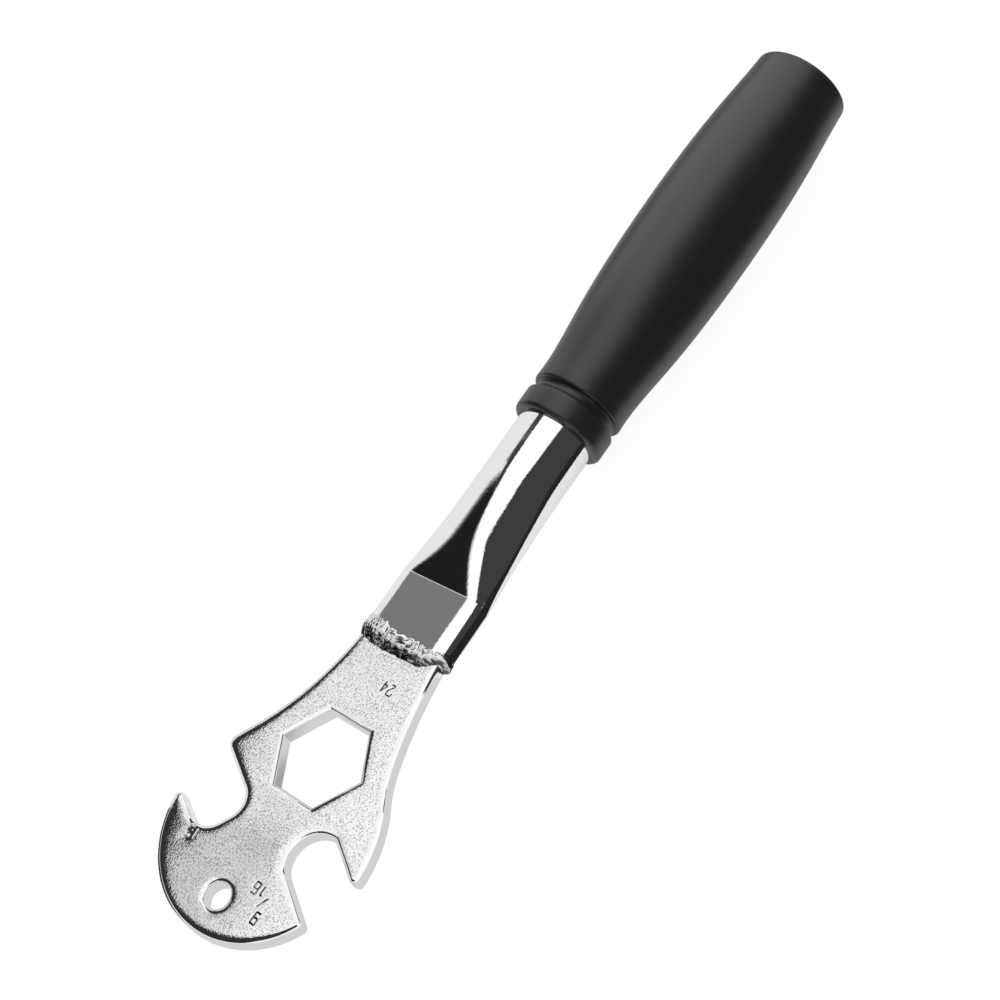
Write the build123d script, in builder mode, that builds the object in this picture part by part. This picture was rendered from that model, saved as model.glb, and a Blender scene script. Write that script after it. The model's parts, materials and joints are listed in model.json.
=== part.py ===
from build123d import *

import os
from math import asin, atan2, cos, hypot, pi, radians, sin, sqrt

# Bicycle multi wrench: a stamped head plate with a hexagon hole, two open jaws and a hanging
# hole, welded to the flattened end of a tube that carries a moulded grip.
# Lengths are millimetres and angles degrees. The wrench's own axes run from the middle of the
# hexagon hole: x along the handle to the grip, y across it and z square to the head plate.
# The head's outline is drawn on axes of its own, turned a little against the handle.

# Head plate
plate_thickness = 5.0
plate_edge_round = 1.25
hole_edge_round = 0.7
head_turn = -2.6
head_side_shift = 0.4
head_width_middle = 1.11
hex_across_flats = 24.0
hang_hole_diameter = 7.3
hang_hole_inset = 10.55

# Rim of the head, from its far end round to the neck
head_reach = 54.05
crown_drop = 0.5
upper_crown_radius = 31.3
lower_crown_radius = 28.0
upper_shoulder = Vector(-1.0, 23.5)
upper_shoulder_slope = -28.5
upper_waist = Vector(14.0, 17.5)
lower_shoulder = Vector(-1.5, -24.1)
lower_shoulder_slope = 35.0
lower_waist = Vector(9.0, -18.7)
lower_prong_end = Vector(-26.0, -31.2)
neck_reach = 35.5
neck_step = 0.85

# 15 mm jaw
jaw_15_width = 15.5
jaw_15_direction = 60.0
jaw_15_floor = Vector(-26.5, 12.9)
jaw_15_floor_round = 6.0
horn_round = 1.6
prong_15_round = 3.0

# 9/16 inch jaw
jaw_9_16_width = 14.5
jaw_9_16_direction = 237.7
jaw_9_16_floor = Vector(-19.6, -10.65)
jaw_9_16_floor_radius = 7.6
jaw_9_16_floor_shift = 0.32
jaw_9_16_corner_round = 0.8
toe_round = 1.5
prong_9_16_round = 1.6

# Size numbers stamped into the upper face
mark_depth = 0.18
mark_line = 0.42
mark_corner_round = 0.3
mark_height = 3.2
mark_width = 1.5
mark_spacing = 2.3
mark_24_place = Vector(24.3, -3.4)
mark_15_place = Vector(-34.0, 17.8)
mark_9_place = Vector(-43.0, -13.4)
mark_slash_place = Vector(-38.7, -12.3)
mark_16_place = Vector(-36.6, -9.2)

# Handle tube, pressed flat over the plate's tang
tube_diameter = 22.2
tube_wall = 1.9
flat_corner = 2.5
flat_length = 18.3
flare_length = 37.2
bare_length = 15.9
tang_length = 14.0
tang_root_length = 20.0
tang_face_clearance = 0.1
tang_side_clearance = 1.0
round_seam = 0.01

# Weld bead round the end of the tube
weld_root_gap = 1.0
weld_plate_lap = 4.1
weld_tube_lap = 2.3
weld_toe_height = 0.35
weld_shoulder_lap = 2.2
weld_shoulder_drop = 0.45
weld_crest_lap = 0.23
weld_crest_height = 0.7
weld_side_width = 0.3

# Grip, one moulding with a collar and a groove
grip_fit = 0.05
collar_length = 7.2
collar_radius = 13.45
collar_front_round = 1.6
collar_back_round = 0.6
groove_width = 2.8
groove_radius = 12.2
rim_radius = 13.5
rim_round = 1.1
waist_radius = 13.4
flare_radius = 14.85
belly_radius = 16.7
taper_radius = 15.65
tail_radius = 14.05
tail_round = 1.2
body_length = 117.5
waist_share = 0.035
flare_share = 0.19
belly_share = 0.515
taper_share = 0.825
tail_slope = -0.05
grip_end_wall = 3.0

# Places along the handle, counted from the middle of the hexagon hole
tube_start = neck_reach + weld_root_gap
flat_end = tube_start + flat_length
flare_end = flat_end + flare_length
grip_start = flare_end + bare_length
groove_start = grip_start + collar_length
body_start = groove_start + groove_width
grip_end = body_start + body_length
tube_end = grip_end - grip_end_wall - grip_fit

# The tube keeps its girth where it is pressed flat over the tang.
flat_height = plate_thickness + 2 * (tube_wall + tang_face_clearance)
flat_width = pi * (tube_diameter / 2 - flat_corner) + 4 * flat_corner - flat_height
tang_width = flat_width - 2 * (tube_wall + tang_side_clearance)
neck_half_width = flat_width / 2 - neck_step

# The wrench lies on the rim of its head and on the front edge of its collar. Both edges are
# round, so the handle's slope is that of the line that touches both rounds from below.
turn = radians(head_turn)
crown_x = (lower_crown_radius - head_reach) * cos(turn) + crown_drop * sin(turn)
head_contact_x = crown_x - lower_crown_radius + plate_edge_round
head_contact_z = plate_thickness / 2 - plate_edge_round
collar_contact_x = grip_start + collar_front_round
collar_contact_z = collar_radius - collar_front_round
contact_run = collar_contact_x - head_contact_x
contact_rise = collar_contact_z - head_contact_z
round_difference = collar_front_round - plate_edge_round
slope = atan2(contact_rise, contact_run) + asin(round_difference / hypot(contact_run, contact_rise))
axis_height = plate_edge_round + head_contact_z * cos(slope) - head_contact_x * sin(slope)

# The origin is on the floor, halfway between the ends of the wrench as it lies and in the
# middle of the head's width, which is beside the handle.
tail_x = grip_end - tail_round
tail_z = tail_radius - tail_round
far_left = head_contact_x * cos(slope) - head_contact_z * sin(slope) - plate_edge_round
far_right = tail_x * cos(slope) + tail_z * sin(slope) + tail_round
tool = Plane(
    origin=(-(far_left + far_right) / 2, -head_width_middle, axis_height),
    x_dir=(cos(slope), 0, sin(slope)),
    z_dir=(-sin(slope), 0, cos(slope)),
)

# Strokes of each stamped sign, on a square from (0, 0) to (1, 1) that is scaled to its size
SIGN_STROKES = {
    "1": [[(0.2, 0.75), (0.6, 1), (0.6, 0)]],
    "2": [[(0, 0.7), (0, 1), (1, 1), (1, 0.6), (0, 0), (1, 0)]],
    "4": [[(0.75, 0), (0.75, 1)], [(0.75, 1), (0, 0.3), (1, 0.3)]],
    "5": [[(1, 1), (0, 1), (0, 0.58), (1, 0.58), (1, 0), (0, 0)]],
    "6": [[(1, 1), (0, 1), (0, 0), (0.5, 0)], [(0.5, 0), (1, 0), (1, 0.55), (0, 0.55)]],
    "9": [[(0, 0), (1, 0), (1, 1), (0.5, 1)], [(0.5, 1), (0, 1), (0, 0.45), (1, 0.45)]],
    "/": [[(0, 0), (1, 1)]],
}


def level_plane(middle, angle):
    """Plane parallel to the head plate at a point, its x axis turned from the handle's."""
    x_dir = tool.x_dir.rotate(Axis((0, 0, 0), tool.z_dir), angle)
    return Plane(origin=middle, x_dir=x_dir, z_dir=tool.z_dir)


def station(distance):
    """Plane square to the handle at a distance along it, its y axis up."""
    middle = tool.from_local_coords(Vector(distance, 0, 0))
    return Plane(origin=middle, x_dir=tool.y_dir, z_dir=tool.x_dir)


def head_point(distance, side):
    """Point of the handle's own axes, in the head's."""
    return head.to_local_coords(tool.from_local_coords(Vector(distance, side, 0)))


def turned(length, angle):
    """Vector of a length at an angle from the x axis."""
    return Vector(length * cos(radians(angle)), length * sin(radians(angle)))


def jaw_crossing(floor, direction, centre, radius):
    """Point where the middle line of a jaw runs out over a circle of the rim."""
    outward = turned(1, direction)
    from_centre = floor - centre
    run = from_centre.dot(outward)
    return floor + outward * (sqrt(run**2 - from_centre.length**2 + radius**2) - run)


def mouth_edge(plate, jaw, side):
    """Upright edge at which the jaw wall on one side runs out into the rim."""
    upright = plate.edges().filter_by(Axis(head.origin, head.z_dir))
    on_wall = [edge for edge in upright if abs(jaw.to_local_coords(edge.center()).Y - side) < 0.01]
    return max(on_wall, key=lambda edge: jaw.to_local_coords(edge.center()).X)


def sign_strokes(text):
    """Strokes of a row of signs, drawn about the middle of the row."""
    first = -(len(text) - 1) * mark_spacing / 2
    for number, sign in enumerate(text):
        for stroke in SIGN_STROKES[sign]:
            yield [
                (first + number * mark_spacing + (x - 0.5) * mark_width, (y - 0.5) * mark_height)
                for x, y in stroke
            ]


def stamp(text, place):
    """Sink a row of signs into the upper face, read across the head."""
    middle = head.offset(plate_thickness / 2 - mark_depth).from_local_coords(place)
    face = level_plane(middle, head_turn + 90)
    with BuildSketch(face) as signs:
        for stroke in sign_strokes(text):
            with BuildLine():
                if len(stroke) == 2:
                    Line(*stroke)
                else:
                    FilletPolyline(*stroke, radius=mark_corner_round)
            trace(line_width=mark_line)
    extrude(signs.sketch, amount=2 * mark_depth, mode=Mode.SUBTRACT)


def tube_solid(inset, mode):
    """The handle tube's outside, or its bore where inset is the wall."""
    flat = (flat_width - 2 * inset, flat_height - 2 * inset, flat_corner - inset)
    diameter = tube_diameter - 2 * inset
    with BuildSketch(station(tube_start)) as mouth:
        RectangleRounded(*flat)
    with BuildSketch(station(flat_end)) as flare_mouth:
        RectangleRounded(*flat)
    with BuildSketch(station(flare_end)) as flare_back:
        RectangleRounded(diameter, diameter, diameter / 2 - round_seam)
    with BuildSketch(station(flare_end)) as bare_tube:
        Circle(diameter / 2)
    extrude(mouth.sketch, amount=flat_length, mode=mode)
    loft([flare_mouth.sketch, flare_back.sketch], ruled=True, mode=mode)
    extrude(bare_tube.sketch, amount=tube_end - flare_end, mode=mode)


# Head plate: the rim is drawn across both mouths, and the jaws are cut through it. Each jaw's
# plane lies at its floor, with the x axis out through the mouth.
head = level_plane(tool.from_local_coords(Vector(0, head_side_shift, 0)), head_turn)
head_underside = head.offset(-plate_thickness / 2)
jaw_15 = level_plane(head_underside.from_local_coords(jaw_15_floor), head_turn + jaw_15_direction)
jaw_9_16 = level_plane(head_underside.from_local_coords(jaw_9_16_floor), head_turn + jaw_9_16_direction)
far_end = Vector(-head_reach, -crown_drop)
upper_centre = far_end + Vector(upper_crown_radius, 0)
lower_centre = far_end + Vector(lower_crown_radius, 0)
crown_top = jaw_crossing(jaw_15_floor, jaw_15_direction, upper_centre, upper_crown_radius)
crown_bottom = jaw_crossing(jaw_9_16_floor, jaw_9_16_direction, lower_centre, lower_crown_radius)

# The upper shoulder's line is drawn on as far as the middle of the 15 mm jaw.
jaw_15_outward = turned(1, jaw_15_direction)
shoulder_way = turned(1, upper_shoulder_slope)
shoulder_length = (upper_shoulder - jaw_15_floor).cross(jaw_15_outward).Z
shoulder_length /= shoulder_way.cross(jaw_15_outward).Z

with BuildPart() as head_plate:
    with BuildSketch(head_underside):
        with BuildLine():
            TangentArc(far_end, crown_bottom, tangent=(0, -1))
            TangentArc(far_end, crown_top, tangent=(0, 1))
            Polyline(crown_top, upper_shoulder - shoulder_way * shoulder_length, upper_shoulder)
            upper_bend = TangentArc(upper_shoulder, upper_waist, tangent=shoulder_way)
            upper_neck = head_point(neck_reach, neck_half_width)
            TangentArc(upper_waist, upper_neck, tangent=upper_bend % 1)
            lower_neck = head_point(neck_reach, -neck_half_width)
            Line(upper_neck, lower_neck)
            lower_bend = TangentArc(lower_shoulder, lower_waist, tangent=turned(1, lower_shoulder_slope))
            TangentArc(lower_waist, lower_neck, tangent=lower_bend % 1)
            TangentArc(lower_shoulder, lower_prong_end, tangent=turned(-1, lower_shoulder_slope))
            Line(lower_prong_end, crown_bottom)
        make_face()
    extrude(amount=plate_thickness)

    with BuildSketch(jaw_15) as jaw_15_cut:
        Rectangle(head_reach, jaw_15_width, align=(Align.MIN, Align.CENTER))
        fillet(jaw_15_cut.vertices().sort_by(Axis.X)[:2], jaw_15_floor_round)
    extrude(amount=plate_thickness, mode=Mode.SUBTRACT)

    with BuildSketch(jaw_9_16) as jaw_9_16_cut:
        with Locations((jaw_9_16_floor_radius, jaw_9_16_floor_shift)):
            Circle(jaw_9_16_floor_radius)
        Rectangle(head_reach, jaw_9_16_width, align=(Align.MIN, Align.CENTER), mode=Mode.INTERSECT)
        with Locations((jaw_9_16_floor_radius, 0)):
            Rectangle(head_reach, jaw_9_16_width, align=(Align.MIN, Align.CENTER))
        fillet(jaw_9_16_cut.vertices().sort_by(Axis.X)[:2], jaw_9_16_corner_round)
    extrude(amount=plate_thickness, mode=Mode.SUBTRACT)

    fillet(mouth_edge(head_plate, jaw_15, jaw_15_width / 2), horn_round)
    fillet(mouth_edge(head_plate, jaw_15, -jaw_15_width / 2), prong_15_round)
    fillet(mouth_edge(head_plate, jaw_9_16, jaw_9_16_width / 2), prong_9_16_round)
    fillet(mouth_edge(head_plate, jaw_9_16, -jaw_9_16_width / 2), toe_round)

    with BuildSketch(head_underside):
        RegularPolygon(hex_across_flats / 2, 6, major_radius=False, rotation=30)
        with Locations((hang_hole_inset - head_reach, 0)):
            Circle(hang_hole_diameter / 2)
    extrude(amount=plate_thickness, mode=Mode.SUBTRACT)

    rim_edges = ShapeList()
    hole_edges = ShapeList()
    for face in head_plate.faces().filter_by(Axis(head.origin, head.z_dir)):
        rim_edges += face.outer_wire().edges().sort_by(Axis(tool.origin, tool.x_dir))[:-1]
        for hole in face.inner_wires():
            hole_edges += hole.edges()
    fillet(rim_edges, plate_edge_round)
    fillet(hole_edges, hole_edge_round)

    with BuildSketch(tool.offset(-plate_thickness / 2)):
        with Locations((tube_start + tang_length, 0)):
            Rectangle(tang_root_length, tang_width, align=(Align.MAX, Align.CENTER))
    extrude(amount=plate_thickness)

    stamp("24", mark_24_place)
    stamp("15", mark_15_place)
    stamp("9", mark_9_place)
    stamp("/", mark_slash_place)
    stamp("16", mark_16_place)

# Handle tube
with BuildPart() as handle_tube:
    tube_solid(0, Mode.ADD)
    tube_solid(tube_wall, Mode.SUBTRACT)

# Weld bead: rounded sections from the plate's face up to a crest over the tube's end. Each has
# its distance from the tube's end, how far it is wider than the tube and how far it is higher.
plate_step = plate_thickness / 2 - flat_height / 2
bead_sections = [
    (-weld_plate_lap, weld_toe_height - neck_step, plate_step + weld_toe_height),
    (-weld_shoulder_lap, 0, -weld_shoulder_drop),
    (weld_crest_lap, weld_side_width, weld_crest_height),
    (weld_tube_lap, weld_side_width, weld_toe_height),
]
with BuildPart() as weld_bead:
    for distance, side_growth, face_growth in bead_sections:
        with BuildSketch(station(tube_start + distance)):
            RectangleRounded(
                flat_width + 2 * side_growth,
                flat_height + 2 * face_growth,
                flat_corner,
            )
    loft()
    with BuildSketch(station(tube_start)):
        RectangleRounded(flat_width, flat_height, flat_corner)
    extrude(amount=flat_length, mode=Mode.SUBTRACT)
    add(head_plate.part, mode=Mode.SUBTRACT)

# Grip: its profile runs from the bore's mouth over the collar, groove and body to the tail.
bore_radius = tube_diameter / 2 + grip_fit
bore_end = tube_end + grip_fit


def body_point(share, radius):
    """Point of the grip's profile at a share of the body's length."""
    return (body_start + share * body_length, radius)


with BuildPart() as grip:
    with BuildSketch(Plane(origin=tool.origin, x_dir=tool.x_dir, z_dir=-tool.y_dir)) as profile:
        with BuildLine():
            Polyline(
                (bore_end, 0),
                (bore_end, bore_radius),
                (grip_start, bore_radius),
                (grip_start, collar_radius),
                (groove_start, collar_radius),
                (groove_start, groove_radius),
                (body_start, groove_radius),
                (body_start, rim_radius),
                body_point(waist_share, waist_radius),
            )
            Spline(
                body_point(waist_share, waist_radius),
                body_point(flare_share, flare_radius),
                body_point(belly_share, belly_radius),
                body_point(taper_share, taper_radius),
                (grip_end, tail_radius),
                tangents=[(1, 0), (1, tail_slope)],
            )
            Polyline((grip_end, tail_radius), (grip_end, 0), (bore_end, 0))
        make_face()
        for corner, corner_round in [
            ((grip_start, collar_radius), collar_front_round),
            ((groove_start, collar_radius), collar_back_round),
            ((body_start, rim_radius), rim_round),
            ((grip_end, tail_radius), tail_round),
        ]:
            fillet(profile.vertices().sort_by_distance(corner)[0], corner_round)
    revolve(axis=Axis(tool.origin, tool.x_dir))

os.makedirs("parts", exist_ok=True)

head_plate.part.label = "head_plate"
export_step(head_plate.part, "parts/head_plate.step")

handle_tube.part.label = "handle_tube"
export_step(handle_tube.part, "parts/handle_tube.step")

weld_bead.part.label = "weld_bead"
export_step(weld_bead.part, "parts/weld_bead.step")

grip.part.label = "grip"
export_step(grip.part, "parts/grip.step")
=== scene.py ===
"""Looks of a bicycle multi wrench: a chromed head plate welded to a chromed tube with a black grip.

Lengths are millimetres on the wrench's own axes, which run from the middle of the hexagon hole: x
along the handle to the grip, y across it and z square to the head plate. ToolAxes turns them into
metres on the frame, where the wrench lies on the floor.
"""

from __future__ import annotations

import json
import logging
import math
from dataclasses import dataclass, field
from enum import Enum

import bpy
import numpy as np
from mathutils import Matrix
from mathutils.geometry import delaunay_2d_cdt

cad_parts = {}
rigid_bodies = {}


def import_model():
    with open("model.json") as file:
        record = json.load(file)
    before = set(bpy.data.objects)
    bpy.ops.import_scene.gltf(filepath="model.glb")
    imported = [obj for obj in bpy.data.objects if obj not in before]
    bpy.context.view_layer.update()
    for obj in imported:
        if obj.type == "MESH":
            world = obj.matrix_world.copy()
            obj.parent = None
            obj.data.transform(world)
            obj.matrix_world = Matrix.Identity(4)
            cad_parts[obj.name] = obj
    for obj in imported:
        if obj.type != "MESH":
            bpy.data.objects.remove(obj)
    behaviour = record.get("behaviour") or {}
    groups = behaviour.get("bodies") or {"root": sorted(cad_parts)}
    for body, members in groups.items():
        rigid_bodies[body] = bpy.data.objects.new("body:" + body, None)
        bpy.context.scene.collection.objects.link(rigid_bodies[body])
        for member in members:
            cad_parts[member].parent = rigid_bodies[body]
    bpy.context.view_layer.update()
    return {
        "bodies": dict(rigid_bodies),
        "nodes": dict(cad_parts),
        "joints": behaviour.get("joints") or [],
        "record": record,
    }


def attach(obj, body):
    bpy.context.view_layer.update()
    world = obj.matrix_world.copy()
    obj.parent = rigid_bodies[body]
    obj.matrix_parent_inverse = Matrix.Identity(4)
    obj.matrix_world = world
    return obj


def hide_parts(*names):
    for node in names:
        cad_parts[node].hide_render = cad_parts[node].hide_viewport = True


log = logging.getLogger("multi_wrench")
MM = 0.001
WAVES = 24  # plane waves in an uneven field
CHUNK = 1000  # points whose distances are worked out at once, which saves memory
TINY = 1e-9  # keeps a length that is divided by off zero
TRIANGLE_HEIGHT = 0.866  # of an equal-sided triangle, as a share of its side
MARK_RIM = 0.5  # the stamped attribute on a mark's rim, where 1 is a mark and 0 the plain face
SMOOTH = {"interpolation_type": "SMOOTHSTEP"}
RGBA = {"data_type": "RGBA"}
FLOAT = {"data_type": "FLOAT"}
MULTIPLY = {"operation": "MULTIPLY"}
DOT = {"operation": "DOT_PRODUCT"}


# ---------------------------------------------------------------- axes and meshes


@dataclass(frozen=True)
class ToolAxes:
    """The wrench's own axes as it lies on the floor."""

    origin: tuple[float, float, float] = (-90.8618, -1.11, 6.05145)
    slope: float = 3.860140

    def matrix(self) -> np.ndarray:
        """The three axes as rows: along the handle, across it, and square to the plate."""
        cosine, sine = math.cos(math.radians(self.slope)), math.sin(math.radians(self.slope))
        return np.array([[cosine, 0.0, sine], [0.0, 1.0, 0.0], [-sine, 0.0, cosine]])

    def place(self, points: np.ndarray) -> np.ndarray:
        """Millimetres on the wrench's axes to metres on the frame."""
        return (np.asarray(points, float) @ self.matrix() + np.array(self.origin)) * MM

    def direction(self, vector: np.ndarray) -> np.ndarray:
        """A direction on the wrench's axes, turned to the frame."""
        return np.asarray(vector, float) @ self.matrix()


AXES = ToolAxes()


def make_piece(
    name: str, points: np.ndarray, quads: np.ndarray, fans: np.ndarray
) -> bpy.types.Object:
    """Put a surface into a new smooth-shaded object that rides on the wrench.

    Args:
        name: the piece's name.
        points: places on the wrench's axes, one row each.
        quads: corner numbers of the four-sided faces, one row each.
        fans: corner numbers of the triangles that close a pole, one row each.

    Returns:
        The object, at the frame's origin, with its place in its mesh.
    """
    mesh = bpy.data.meshes.new(name)
    corners = np.concatenate([quads.ravel(), fans.ravel()]).astype(np.int32)
    sides = np.concatenate([np.full(len(quads), 4), np.full(len(fans), 3)]).astype(np.int32)
    starts = np.concatenate([[0], np.cumsum(sides)[:-1]]).astype(np.int32)
    mesh.vertices.add(len(points))
    mesh.vertices.foreach_set("co", AXES.place(points).astype(np.float32).ravel())
    mesh.loops.add(len(corners))
    mesh.loops.foreach_set("vertex_index", corners)
    mesh.polygons.add(len(sides))
    mesh.polygons.foreach_set("loop_start", starts)
    mesh.polygons.foreach_set("use_smooth", np.ones(len(sides), bool))
    mesh.update(calc_edges=True)
    mesh.validate()
    piece = bpy.data.objects.new(name, mesh)
    bpy.context.scene.collection.objects.link(piece)
    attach(piece, "root")
    return piece


def ring_quads(rows: int, columns: int, closed_rows: bool) -> np.ndarray:
    """Number the faces of a grid whose columns run round in a ring.

    A face joins the points (r, c), (r + 1, c), (r + 1, c + 1) and (r, c + 1), where the first
    column follows the last one.

    Args:
        rows: how many rings there are.
        columns: how many points a ring has.
        closed_rows: whether the first ring follows the last one too.

    Returns:
        The faces' corner numbers, one row each.
    """
    first_rows = np.arange(rows if closed_rows else rows - 1)
    row, column = np.meshgrid(first_rows, np.arange(columns), indexing="ij")
    after_row = (row + 1) % rows
    after_column = (column + 1) % columns
    corners = [
        row * columns + column,
        after_row * columns + column,
        after_row * columns + after_column,
        row * columns + after_column,
    ]
    return np.stack(corners, axis=-1).reshape(-1, 4)


def stacked(*parts: np.ndarray) -> np.ndarray:
    """Coordinates of different shapes, spread to one shape and joined on a last axis."""
    return np.stack(np.broadcast_arrays(*parts), axis=-1)


def smooth_step(value: np.ndarray, low: float, high: float) -> np.ndarray:
    """Rise smoothly: three times the squared share of the way, less twice its cube.

    Args:
        value: the values that rise.
        low: where the rise starts from zero.
        high: where it ends at one.

    Returns:
        The risen share for each value.
    """
    share = np.clip((value - low) / (high - low), 0.0, 1.0)
    return share * share * (3.0 - 2.0 * share)


def soft_ramp(value: np.ndarray, sharpness: float) -> np.ndarray:
    """Zero for negative values and the value itself for positive ones, rounded where they meet."""
    return np.logaddexp(0.0, sharpness * value) / sharpness


def ripple(points: np.ndarray, size: float, seed: int) -> np.ndarray:
    """Uneven field about zero: plane waves of about one size in random directions, added up.

    The waves are 0.7 to 1.4 times as many on a length as the size says. Their sum is divided by the
    root of their number, which keeps most of the field within 1 and -1.

    Args:
        points: places, one row each.
        size: wavelength, in the points' own unit.
        seed: starts the random numbers, so that the result is the same each time.

    Returns:
        The field's value at each point.
    """
    random = np.random.default_rng(seed)
    ways = random.normal(size=(WAVES, points.shape[-1]))
    spread = random.uniform(0.7, 1.4, (WAVES, 1))
    ways *= (2 * math.pi / size) * spread / np.linalg.norm(ways, axis=1)[:, None]
    waves = np.sin(points @ ways.T + random.uniform(0, 2 * math.pi, WAVES))
    return waves.sum(axis=-1) / math.sqrt(WAVES)


# ---------------------------------------------------------------- materials


def linear(colour: str) -> tuple[float, ...]:
    """Turn an sRGB colour to the linear values that a shader takes.

    Args:
        colour: the colour as # and six hex digits.

    Returns:
        Its red, green and blue by the sRGB curve, and a full alpha.
    """
    parts = np.array([int(colour[place : place + 2], 16) / 255 for place in (1, 3, 5)])
    values = np.where(parts <= 0.04045, parts / 12.92, ((parts + 0.055) / 1.055) ** 2.4)
    return (*values.tolist(), 1.0)


def add_node(
    tree: bpy.types.NodeTree, kind: str, settings: dict | None = None, **inputs: object
) -> bpy.types.Node:
    """Add a node with its settings, values and links.

    Args:
        tree: the tree that gets the node.
        kind: the node's type.
        settings: its properties, by name.
        **inputs: its sockets, by name with _ for a space, or by number as s0, s1 and so on. A value
            is set, an output is linked, and of a node the first output is linked.

    Returns:
        The new node.
    """
    node = tree.nodes.new(kind)
    for name, value in (settings or {}).items():
        setattr(node, name, value)
    for name, value in inputs.items():
        numbered = name[0] == "s" and name[1:].isdigit()
        socket = node.inputs[int(name[1:]) if numbered else name.replace("_", " ")]
        if isinstance(value, bpy.types.Node):
            value = value.outputs[0]
        if isinstance(value, bpy.types.NodeSocket):
            tree.links.new(value, socket)
        else:
            socket.default_value = value
    return node


def new_material(name: str) -> tuple[bpy.types.Material, bpy.types.NodeTree]:
    """Make a material with an empty tree.

    Args:
        name: the material's name.

    Returns:
        The material and its tree.
    """
    material = bpy.data.materials.new(name)
    material.use_nodes = True
    material.node_tree.nodes.clear()
    return material, material.node_tree


@dataclass(frozen=True)
class Skin:
    """The unevenness of a finish: soft noise of one width that bumps the surface by one depth.

    Both are in millimetres. The detail and the fineness are the noise's own.
    """

    width: float
    depth: float
    detail: float
    fineness: float = 0.5

    def build(
        self, tree: bpy.types.NodeTree, strength: float | bpy.types.Node = 1.0
    ) -> tuple[bpy.types.Node, bpy.types.Node]:
        """Add the skin to a material.

        Args:
            tree: the material's tree.
            strength: how much of the skin shows, from none at 0 to all at 1.

        Returns:
            The noise, and the bump that it makes.
        """
        noise = add_node(
            tree, "ShaderNodeTexNoise",
            Vector=add_node(tree, "ShaderNodeTexCoord").outputs["Object"],
            Scale=1.0 / (self.width * MM), Detail=self.detail, Roughness=self.fineness,
        )
        bump = add_node(
            tree, "ShaderNodeBump", Strength=strength, Distance=self.depth * MM, Height=noise
        )
        return noise, bump


@dataclass(frozen=True)
class BlastedChrome:
    """Bright chrome over a shot-blasted steel plate.

    The blasting leaves dents about as wide as its grit, and the chrome keeps them, so the flat face
    sparkles, with a dull grey in the deeper dents. The dents are 0.2 to 0.3 mm wide and are drawn
    coarser, so that they show. The edge rounds and the walls were ground after it and are smooth.
    The stamped marks are darkened by painted shade, and the metal pressed up round them is bright.
    """

    colour: str = "#FAFAF8"
    painted_mark_shade_colour: str = "#868684"
    dent_colour: str = "#B0B0AE"
    dent_width: float = 0.42
    shallow_dent: float = 0.55
    deep_dent: float = 0.30
    painted_mark_shade_start: float = 0.55
    painted_mark_shade_full: float = 0.95
    smooth_roughness: float = 0.08
    grain_roughness: float = 0.14
    grit: Skin = Skin(width=0.50, depth=0.085, detail=1.0)
    smooth_facing: float = 0.90
    blasted_facing: float = 0.985

    def build(self) -> bpy.types.Material:
        """Make the material: grain as a bump that fades where the surface turns from the face.

        The mesh's stamped attribute is highest in a mark, which gets painted shade there. On a
        mark's rim and in it there is no grain.

        Returns:
            The material.
        """
        material, tree = new_material("chrome_over_shot_blasted_steel")
        normal = add_node(tree, "ShaderNodeNewGeometry").outputs["Normal"]
        up = tuple(AXES.direction([0.0, 0.0, 1.0]))
        facing = add_node(tree, "ShaderNodeVectorMath", DOT, s0=normal, s1=up).outputs["Value"]
        squareness = add_node(tree, "ShaderNodeMath", {"operation": "ABSOLUTE"}, s0=facing)
        flat = add_node(
            tree, "ShaderNodeMapRange", SMOOTH, Value=squareness, From_Min=self.smooth_facing,
            From_Max=self.blasted_facing,
        )
        mark = add_node(tree, "ShaderNodeAttribute", {"attribute_name": "stamped"})
        stamped = mark.outputs["Fac"]
        clamped = {"operation": "MULTIPLY_ADD", "use_clamp": True}
        grain = add_node(tree, "ShaderNodeMath", clamped, s0=stamped, s1=-1 / MARK_RIM, s2=flat)
        # painted shade in the stamped marks: how far their colour turns to the darker grey, from
        # the stamped attribute
        sunk = add_node(
            tree, "ShaderNodeMapRange", SMOOTH, Value=stamped, From_Min=self.painted_mark_shade_start,
            From_Max=self.painted_mark_shade_full,
        )
        dents = add_node(
            tree, "ShaderNodeTexNoise",
            Vector=add_node(tree, "ShaderNodeTexCoord").outputs["Object"],
            Scale=1.0 / (self.dent_width * MM), Detail=1.0,
        )
        dented = add_node(
            tree, "ShaderNodeMapRange", SMOOTH, Value=dents, From_Min=self.shallow_dent,
            From_Max=self.deep_dent,
        )
        dulled = add_node(tree, "ShaderNodeMath", MULTIPLY, s0=dented, s1=grain)
        bright, dull = linear(self.colour), linear(self.dent_colour)
        colour = add_node(tree, "ShaderNodeMix", RGBA, s0=dulled, s6=bright, s7=dull).outputs[2]
        # painted shade: the grey that the sunk strokes of the marks are darkened towards
        painted_mark_shade = linear(self.painted_mark_shade_colour)
        with_painted_mark_shade = add_node(tree, "ShaderNodeMix", RGBA, s0=sunk, s6=colour, s7=painted_mark_shade).outputs[2]
        _, bump = self.grit.build(tree, grain)
        roughness = add_node(
            tree, "ShaderNodeMapRange", Value=flat, To_Min=self.smooth_roughness,
            To_Max=self.grain_roughness,
        )
        shader = add_node(
            tree, "ShaderNodeBsdfPrincipled", Base_Color=with_painted_mark_shade, Metallic=1.0, Roughness=roughness,
            Normal=bump,
        )
        add_node(tree, "ShaderNodeOutputMaterial", s0=shader)
        return material


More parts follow.
